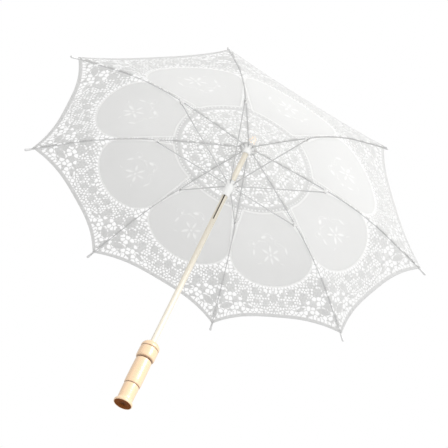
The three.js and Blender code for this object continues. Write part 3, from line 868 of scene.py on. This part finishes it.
def hem_u(u, v):
    """u of the hem, which curves in from the corners by the cube of the place across the gore."""
    side = np.clip(np.abs(v) / half_width(u), 0, 1)
    radius = hem_corner - HEM_SCALLOP * (1 - side ** 3) / math.cos(HALF_GORE)
    return u_at(distance_at(radius))


print("hem at u in mm, middle and corner:", round(hem_middle_u / MM, 1), round(hem_corner_u / MM, 1))

# %% [markdown]
# ## Drawing lace with distances
#
# A pattern here is a number at each flat place: how far inside the thread it is, in millimetres, and
# below zero in a hole. Discs, leaves, tapes and nets each have such a number, the greater of two is
# both together, and where it crosses zero is the edge. The same number also says how thick the thread
# is, because thread is round.


# %% Pattern pieces, in millimetres
def disc(u, v, at_u, at_v, radius):
    """Radius less the distance to the middle."""
    return radius - np.hypot(u - at_u, v - at_v)


def leaf(u, v, at_u, at_v, length, width, turn_degrees):
    """Two equal circles that overlap: a leaf with pointed ends. length and width are halves."""
    turn_by = math.radians(turn_degrees)
    along = (u - at_u) * math.cos(turn_by) + (v - at_v) * math.sin(turn_by)
    across = np.abs(-(u - at_u) * math.sin(turn_by) + (v - at_v) * math.cos(turn_by))
    big = (length ** 2 + width ** 2) / (2 * width)
    return big - np.hypot(along, across + big - width)


def band(distance, half):
    """A tape that follows a line: half its width less the distance to the line."""
    return half - np.abs(distance)


def smaller(a, b, blend):
    """The smaller of two distances, with their corner rounded over a length."""
    share = np.clip(0.5 + 0.5 * (b - a) / blend, 0, 1)
    return b + (a - b) * share - blend * share * (1 - share)


def nearest_two(u, v, seeds):
    """Distances from each place to the two nearest seeds, a block of places at a time."""
    flat_u, flat_v = u.ravel().astype(np.float32), v.ravel().astype(np.float32)
    first = np.empty(len(flat_u), np.float32)
    second = np.empty(len(flat_u), np.float32)
    seeds = seeds.astype(np.float32)
    for start in range(0, len(flat_u), 8000):
        block = slice(start, start + 8000)
        gap = np.hypot(flat_u[block, None] - seeds[:, 0], flat_v[block, None] - seeds[:, 1])
        two = np.partition(gap, 1, axis=1)[:, :2]
        first[block], second[block] = two.T
    return first.reshape(u.shape), second.reshape(u.shape)


def net_seeds(pitch, low_u, high_u, random):
    """Staggered rows of hole middles, shaken a little, symmetric about the gore's middle line and
    about its seams so that the lace runs on over them."""
    rows = []
    for row, at_u in enumerate(np.arange(low_u, high_u, 0.87 * pitch)):
        edge = float(half_width(at_u * MM)) / MM
        count = max(1, round(edge / pitch))
        at_v = (np.arange(count + 1) + 0.5 * (row % 2)) * edge / count
        at_v = at_v[at_v <= edge + 0.01]
        shake = random.uniform(-0.26, 0.26, (len(at_v), 2)) * pitch
        fixed = (at_v < 0.3 * pitch) | (at_v > edge - 0.3 * pitch)
        shake[fixed, 1] = 0
        places = np.column_stack([at_u + shake[:, 0], at_v + shake[:, 1]])
        beyond = np.column_stack([places[:, 0], 2 * edge - places[:, 1]])
        rows += [places, places * (1, -1), beyond, beyond * (1, -1)]
    return np.unique(np.vstack(rows).round(3), axis=0)


def net(u, v, seeds, wall, hole):
    """Worked lace: threads half way between neighbouring seeds, and all that is further than a
    hole's radius from a seed, which rounds the holes."""
    first, second = nearest_two(u, v, seeds)
    return np.maximum((wall - (second - first)) / 2, first - hole)


def rosette_at(u, v, at_u, at_v, radius, petals):
    """A worked flower: a ring of small discs round a middle one, with pin holes between."""
    found = disc(u, v, at_u, at_v, 0.42 * radius)
    for k in range(petals):
        angle = 2 * math.pi * (k + 0.5) / petals
        place_u = at_u + 0.66 * radius * math.cos(angle)
        place_v = at_v + 0.66 * radius * math.sin(angle)
        found = np.maximum(found, disc(u, v, place_u, place_v, 0.36 * radius))
    return found


print("pattern pieces ready")

# %% [markdown]
# ## The petal
#
# A petal is an egg: round at the hem's end, with straight sides that follow the ribs and an edge on
# the crown's ring of tape. Its distance is the smallest of those edges' own distances. A white cord
# runs round it, and a flower, leaves and curled tendrils are embroidered on its cotton.

# %% Petal outline and embroidery
PETAL_MIDDLE, PETAL_WIDE = 248.0, 93.0
PETAL_DOWN, PETAL_UP = 62.5, 130.0
RING_RADIUS = 150.0


def petal_edge(u, v):
    """Distance inside the petal's outline, in mm."""
    reach = np.where(u > PETAL_MIDDLE, PETAL_DOWN, PETAL_UP)
    du, dv = (u - PETAL_MIDDLE) / reach, v / PETAL_WIDE
    share = np.sqrt(du ** 2 + dv ** 2) + 1e-6
    steep = np.hypot(du / reach, dv / PETAL_WIDE) / share + 1e-6
    egg = (1 - share) / steep
    side = (47 + 0.55 * (u - RING_RADIUS) - np.abs(v)) * math.cos(math.atan(0.55))
    seam = half_width(u * MM) / MM - 2.6 - np.abs(v)
    ring = np.hypot(u, v) - RING_RADIUS
    return smaller(smaller(np.minimum(egg, side), seam, 6.0), ring, 1.5)


def arc(u, v, at_u, at_v, radius, low, high, half):
    """A stitched arc: angles in degrees are turned from +v towards +u."""
    turn = np.degrees(np.arctan2(u - at_u, v - at_v))
    drawn = (turn > low) & (turn < high)
    return np.where(drawn, band(np.hypot(u - at_u, v - at_v) - radius, half), -3)


def embroidery(u, v):
    """Height of the satin stitch: leaves round a middle knot, curled tendrils and some dots."""
    found = disc(u, v, 243, -1, 3.0)
    for place_u, place_v, length, width, turn_degrees in (
            (230, -1, 9.5, 2.6, 2), (235, 11, 8.5, 2.8, 124), (236, -13, 8.5, 2.6, 56),
            (251, 10, 10, 3.2, 40), (256, -2, 9, 2.6, -8), (250, -13, 9, 3.2, -48),
            (203, 10, 7, 3.6, 66), (205, -8, 7, 1.8, -62), (219, 35, 3.6, 3.2, 20),
            (212, 22, 5, 1.6, 60), (238, 37, 8.5, 2.6, 8), (233, -37, 10, 2.4, -6),
            (262, 27, 7, 1.3, 74), (262, -25, 7, 1.3, -70)):
        found = np.maximum(found, leaf(u, v, place_u, place_v, length, width, turn_degrees))
    for at_u, at_v, radius, low, high, half in (
            (236, 14, 23, -112, -18, 0.9), (205, 1, 9.5, 150, 180, 1.0), (205, 1, 9.5, -180, -20, 1.0),
            (238, -15, 22, -150, -100, 0.9), (215, -22, 8, -60, 120, 0.8), (218, 40, 7, -170, 40, 0.7)):
        found = np.maximum(found, arc(u, v, at_u, at_v, radius, low, high, half))
    return found


sample_u, sample_v = np.meshgrid(np.arange(145.0, 315), np.arange(-100.0, 101), indexing="ij")
print("petal area in cm2:", round((petal_edge(sample_u, sample_v) > 0).sum() / 100, 1))

# %% [markdown]
# ## The worked lace
#
# Everything outside the petals is one drawing: a fine net of uneven round holes, with larger ones by
# the ribs, the corners and in rounds of the crown's lace, a tape with a row of holes round that lace, a
# ladder of small square holes between two cords where petals lean together, worked flowers and
# leaves, long slits by the corners, and a tape along the hem.

# %% Lace drawing
random = np.random.default_rng(8)
fine_seeds = net_seeds(7.0, 14.0, 404.0, random)
open_seeds = net_seeds(11.4, 14.0, 404.0, random)


def motifs(u, v):
    """Solid worked motifs, drawn for v above zero in one half of a gore."""
    found = np.full(u.shape, -9.0)
    for place_u, place_v, radius, petals in (
            (112, 0, 9.5, 6), (84, 34.5, 10, 6), (119, 25, 7, 5), (60, 0, 8, 6), (40, 16.5, 6, 5),
            (78, 13, 5, 5), (122, 50, 7, 6),
            (303, 119, 12, 6), (318, 101, 10, 6), (336, 0, 10, 7), (347, 18, 7.5, 6), (329, 20, 7, 5),
            (322, 41, 9, 6), (331, 128, 9, 6), (330, 67, 10, 6), (343, 88, 7, 6), (303, 84, 8, 6),
            (344, 38, 6, 5)):
        found = np.maximum(found, rosette_at(u, v, place_u, place_v, radius, petals))
    for place_u, place_v, length, width, turn_degrees in (
            (357, 112, 17, 7, 76), (356, 60, 13, 4, 112), (98, 17, 9, 3.4, 35), (372, 140, 14, 4, 36),
            (52, 10, 8, 3, 30), (346, 139, 12, 4.5, 24), (30, 5, 6, 2.4, 0)):
        found = np.maximum(found, leaf(u, v, place_u, place_v, length, width, turn_degrees))
    return found


def openness(u, side, hem):
    """Above zero where the net is open, with large holes, and below it where it is fine: beside the
    petals on the ribs, between the garland and the hem, and in two rounds of the crown's lace."""
    radius = np.hypot(u, side)
    by_rib = 21 - np.hypot(u - 268, side - half_width(u * MM) / MM)
    by_hem = np.minimum(u - (363 - 22 * (side / 70) ** 2), side - 25)
    by_corner = 30 - np.hypot(u - 366, side - 88)
    in_crown = np.maximum(9 - np.abs(radius - 98), 9 - np.abs(radius - 66))
    in_crown = np.maximum(in_crown, 6 - np.abs(radius - 129))
    below = 11 - np.hypot(u - 322, side - 14)
    return np.maximum.reduce([by_rib, by_hem, by_corner, in_crown, below])


LADDER = 5.2                # all in mm: one step of the ladder
SLIT = 8                    # from slit to slit
PICOT = 7.2                 # from loop to loop outside a petal's round end
BEAD_ROUND, BEAD = 143.6, 8     # radius of the ring tape's holes, and from hole to hole
RING_TAPE = 137
HEM_TAPE = 7.6
CROWN_TAPE = 3.0
PETAL_CORD = 2.0


def lace(u, v, hem):
    """Distance inside the thread of the lace, in mm, at flat places u, v. hem is the hem's u there."""
    edge = half_width(u * MM) / MM
    side = np.abs(v)
    radius = np.hypot(u, v)
    petal = petal_edge(u, v)
    spread = openness(u, side, hem)
    found = np.where(spread > 0, net(u, v, open_seeds, 1.6, 5.1), net(u, v, fine_seeds, 1.6, 2.45))
    found = np.maximum(found, band(spread, 0.8) - 9.0 * (petal > -2))
    for beside in (side, 2 * edge - side):
        found = np.maximum(found, motifs(u, beside))
    from_seam = edge - side
    line_u = np.abs((u + LADDER / 2) % LADDER - LADDER / 2)
    line_v = np.abs(from_seam % LADDER - LADDER / 2)
    ladder = np.maximum(0.9 - np.minimum(line_u, line_v), band(petal + 4.6, 0.8))
    found = np.where((radius > RING_RADIUS) & (u < 216), ladder, found)
    depth = hem - u
    slits = np.abs((side + SLIT / 2) % SLIT - SLIT / 2)
    by_hem = (side > 84) & (from_seam > 7) & (depth > 5) & (depth < 15)
    found = np.where(by_hem, np.maximum(1.0 - slits, 0.9 - np.abs(depth - 15)), found)
    picots = np.arctan2(u - PETAL_MIDDLE, side) * 66 + PICOT / 2
    picots = np.abs(picots % PICOT - PICOT / 2)
    by_petal = (petal < -1.5) & (petal > -7) & (u > 276)
    found = np.where(by_petal, np.maximum(1.2 - picots, 0.8 - np.abs(petal + 7)), found)
    beads = (np.arctan2(v, u) * 143 + BEAD / 2) % BEAD - BEAD / 2
    beads = np.hypot(beads, radius - BEAD_ROUND) - 1.3
    found = np.where((radius > RING_TAPE) & (radius < RING_RADIUS), beads, found)
    found = np.maximum(found, band(radius - RING_TAPE + 1, 1.1))
    found = np.maximum(found, band(petal, PETAL_CORD))
    found = np.maximum(found, HEM_TAPE - depth)
    found = np.maximum(found, CROWN_TAPE - (u - hole_u / MM))
    return np.where(petal > 1.5, -9.0, found)


print("net holes:", len(fine_seeds), len(open_seeds))

# %% [markdown]
# ## From a drawing to a sheet
#
# The flat gore is covered with small squares and those whose middle is in the thread are kept. Their
# outer corners are then moved onto the drawing's edge, down its slope by the distance that is left, so
# the holes come out round. The sheet gets a top and a bottom that are further apart where the thread
# is thick, and a strip of faces round every edge joins them.


# %% Sheets
def move_to_edge(places, value, kept, step):
    """Moves the corners on the rim of the kept squares to where value is zero: each goes along the
    value's slope by value over slope, and never more than 0.7 of a square."""
    slope_u, slope_v = np.gradient(value, step)
    steep = np.maximum(slope_u ** 2 + slope_v ** 2, 0.3)
    shift = np.stack([-value * slope_u / steep, -value * slope_v / steep], -1)
    length = np.linalg.norm(shift, axis=-1, keepdims=True)
    shift *= np.minimum(1, 0.7 * step / np.maximum(length, 1e-9))
    around = np.zeros(value.shape, int)
    for du in (0, 1):
        for dv in (0, 1):
            around[du:du + kept.shape[0], dv:dv + kept.shape[1]] += kept
    rim = (around > 0) & (around < 4)
    return places + shift * rim[..., None]


def sheet_of(value_at, cut_at, thickness_at, u_range, v_range, step):
    """The flat sheet where the drawing and the cut are above zero: flat places, half thickness,
    whiteness with painted shade, faces and rim edges. Lengths are in mm and the faces index the places."""
    u, v = np.meshgrid(np.arange(*u_range, step), np.arange(*v_range, step), indexing="ij")
    drawn = value_at(u, v)
    value = np.minimum(drawn, cut_at(u, v))
    middle = (value[1:, 1:] + value[1:, :-1] + value[:-1, 1:] + value[:-1, :-1]) / 4
    kept = middle > 0
    places = move_to_edge(np.stack([u, v], -1), value, kept, step)
    half, white = thickness_at(places[..., 0], places[..., 1], drawn)
    index = np.arange(u.size).reshape(u.shape)
    a, b, c, d = index[:-1, :-1], index[1:, :-1], index[1:, 1:], index[:-1, 1:]
    faces = np.stack([a[kept], b[kept], c[kept], d[kept]], -1)
    padded = np.pad(kept, 1)
    edges = []
    for corners, beside in (((a, b), padded[1:-1, :-2]), ((b, c), padded[2:, 1:-1]),
                            ((c, d), padded[1:-1, 2:]), ((d, a), padded[:-2, 1:-1])):
        open_side = kept & ~beside
        edges.append(np.stack([corners[0][open_side], corners[1][open_side]], -1))
    used, faces = np.unique(faces, return_inverse=True)
    renumber = np.zeros(u.size, int)
    renumber[used] = np.arange(len(used))
    faces, edges = faces.reshape(-1, 4), renumber[np.vstack(edges)]
    return places.reshape(-1, 2)[used], half.ravel()[used], white.ravel()[used], faces, edges


def thread_look(u, v, value):
    """Half thickness and whiteness of lace: round threads, and ringed ridges in the solid motifs. Whiteness
    below zero greys the thread slightly everywhere, and more in solid parts, most in the grooves between
    their ridges: painted shade.
    """
    round_thread = 0.2 + 0.28 * np.sqrt(np.clip(value / 1.1, 0, 1))
    ridges = np.cos(2 * math.pi * np.clip(value, 0, 9) / 2.2)
    solid = np.clip(value - 1.2, 0, 1)
    tape = np.clip(3.4 - 1.2 * np.abs(petal_edge(u, v)), -1, 1)
    # Whiteness below zero is painted shade, deepest in the grooves between ridges.
    white = np.maximum(-0.06 - solid * (0.12 + 0.16 * ridges), tape)
    return round_thread - 0.12 * solid * ridges, white


def petal_look(u, v, value):
    """Half thickness and whiteness of a petal: thin cotton, raised and white where embroidered."""
    stitch = np.clip(embroidery(u, v) / 1.4, 0, 1)
    return 0.18 + 0.4 * np.sqrt(stitch), stitch


def joined_flat(*sheets):
    """Several flat sheets as one, their faces renumbered."""
    start, parts = 0, []
    for places, half, white, faces, edges in sheets:
        parts.append((places, half, white, faces + start, edges + start))
        start += len(places)
    return [np.concatenate(column) for column in zip(*parts)]


def flat_area(flat):
    """Area of the sheet's faces in square metres: half the cross product of their diagonals."""
    places, _, _, faces, _ = flat
    first = places[faces[:, 2]] - places[faces[:, 0]]
    second = places[faces[:, 3]] - places[faces[:, 1]]
    return float(np.abs(first[:, 0] * second[:, 1] - first[:, 1] * second[:, 0]).sum() / 2) * MM ** 2


def gore_part(low_u, high_u):
    """The lace and the petal between two values of u, as one flat sheet."""
    def cut(u, v):
        edge = half_width(u * MM) / MM - np.abs(v)
        return np.minimum.reduce([edge, u - low_u(u, v), high_u(u, v) - u])

    def lace_value(u, v):
        return lace(u, v, hem_u(u * MM, v * MM) / MM)

    low = float(low_u(np.array(0.0), np.array(0.0)))
    high = hem_corner_u / MM + 2 if low > 100 else seam_u / MM
    width = float(half_width(high * MM)) / MM + 2
    laces = sheet_of(lace_value, cut, thread_look, (low - 1, high + 2), (-width, width), LACE_STEP)
    petals = sheet_of(petal_edge, cut, petal_look, (max(low, 145) - 1, min(high, 315) + 1),
                      (-100, 100), PETAL_STEP)
    return joined_flat(laces, petals)


LACE_STEP = 1.0
PETAL_STEP = 1.5
inner_flat = gore_part(lambda u, v: hole_u / MM + 0 * u, lambda u, v: seam_u / MM + 0 * u)
outer_flat = gore_part(lambda u, v: seam_u / MM + 0 * u, lambda u, v: hem_u(u * MM, v * MM) / MM)
print("flat cloth in cm2:", [round(flat_area(flat) * 1e4, 1) for flat in (inner_flat, outer_flat)])
print("squares:", [len(flat[2]) for flat in (inner_flat, outer_flat)])


# %% Gores on the ribs
def gore_shape(flat, azimuth):
    """The flat sheet laid on a gore, as a closed skin with a top, a bottom and a strip round its rims."""
    places, half, _, faces, edges = flat
    u, v = places.T * MM
    top = on_gore(u, v, half * MM, azimuth)
    bottom = on_gore(u, v, -half * MM, azimuth)
    count = len(places)
    strip = np.stack([edges[:, 0], edges[:, 0] + count, edges[:, 1] + count, edges[:, 1]], -1)
    return Shape(np.vstack([top, bottom]), np.vstack([faces, faces[:, ::-1] + count, strip]))


def map_cloth(piece, flat):
    """Lays the flat pattern out as the piece's own map, so that the weave follows the cloth."""
    places = np.vstack([flat[0], flat[0]]) * MM
    corners = np.empty(len(piece.data.loops), np.int32)
    piece.data.loops.foreach_get("vertex_index", corners)
    layer = piece.data.uv_layers.new(name="cloth")
    layer.data.foreach_set("uv", places[corners].astype(np.float32).ravel())
    # Whiteness of the cloth, whose values below zero are painted shade.
    white = piece.data.attributes.new("white", "FLOAT", "POINT")
    white.data.foreach_set("value", np.tile(flat[2], 2).astype(np.float32))


for k in range(RIBS):
    azimuth = 2 * HALF_GORE * k + HALF_GORE
    for part, flat, low, high in (("inner", inner_flat, hole_u, seam_u),
                                  ("outer", outer_flat, seam_u, hem_corner_u)):
        gore = put(f"lace_gore_{k + 1}_{part}", gore_shape(flat, azimuth), lace_cotton)
        map_cloth(gore, flat)
        gore.data.set_sharp_from_angle(angle=math.radians(50))
        high - low
        flat_area(flat)
        body = f"gore_{k + 1}" if part == "inner" else f"gore_{k + 1}_outer"
        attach(gore, body)
        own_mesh(gore)
        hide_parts(f"gore_{k + 1}_{part}")
print("gores:", RIBS)

# %% [markdown]
# ## Top cloth and thread ties
#
# A scalloped round of cotton lies over the hole at the crown, held down by the finial. The corners of
# the gores are sewn to the ribs just behind the tips, with a few turns of thread round the wire. Each
# tie rides on its rib's outer half, as the corner does on the real parasol.


# %% Round of cotton at the crown
def round_cloth(flat_radius, radius, height, fall, thickness):
    """A thin round: flat in the middle, then falling as a cone, with a rim of 32 small scallops, where
    the radius is less by a share of the sine of sixteen times the angle."""
    angle = 2 * math.pi * np.arange(192) / 192
    line = np.concatenate([np.linspace(5.7 * MM, flat_radius, 4), np.linspace(flat_radius, radius, 10)[1:]])
    wave = 1 - 0.035 * np.abs(np.sin(16 * angle)) ** 0.7
    share = np.clip((line - flat_radius) / (radius - flat_radius), 0, 1)[:, None]
    reach = line[:, None] * (1 - share * (1 - wave[None, :]))
    drop = np.maximum(reach - flat_radius, 0) * math.tan(fall)
    layers = []
    for lift, order in ((0, slice(None)), (thickness, slice(None, None, -1))):
        x, y = reach * np.cos(angle), reach * np.sin(angle)
        layers.append(np.stack([x, y, height + lift - drop], -1)[order])
    return tube_shape(np.concatenate(layers)[::-1], closed=True)


cloth_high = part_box("canopy_rosette")[1]
CLOTH = 0.8 * MM
CLOTH_FLAT = 8 * MM
rosette = round_cloth(CLOTH_FLAT, cloth_high.x, cloth_high.z - 1.2 * MM, HINGE_SLOPE, CLOTH)
top_cloth = put("crown_cloth", rosette, lace_cotton)
top_cloth.data.set_sharp_from_angle(angle=math.radians(50))
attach(top_cloth, "shaft")
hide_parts("canopy_rosette")

# %% Thread ties at the corners
tie_at = rib_length - (CAP_LENGTH + 3.2) * MM
for k in range(RIBS):
    tie = put(f"corner_tie_{k + 1}", thread_tie(tie_at, 5).turned_by("z", 2 * HALF_GORE * k),
              lace_cotton)
    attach(tie, f"rib_{k + 1}_outer")
print("ties:", RIBS)

# %% [markdown]
# ## Floor and last lines
#
# The floor is a plain pale disc well below the camera, so that it never comes between the camera and
# the canopy.

# %% Floor
FLOOR_HEIGHT = -1.6
floor_finish = plain_finish("pale_floor", (0.86, 0.86, 0.86, 1), (0.84, 0.84, 0.84, 1), 0.8, 0.0, 40.0)
floor_line = [(0, FLOOR_HEIGHT - 0.02), (14, FLOOR_HEIGHT - 0.02), (14, FLOOR_HEIGHT), (0, FLOOR_HEIGHT)]
floor = put("floor", turned(floor_line, 96), floor_finish)
print("floor at", FLOOR_HEIGHT, "m")
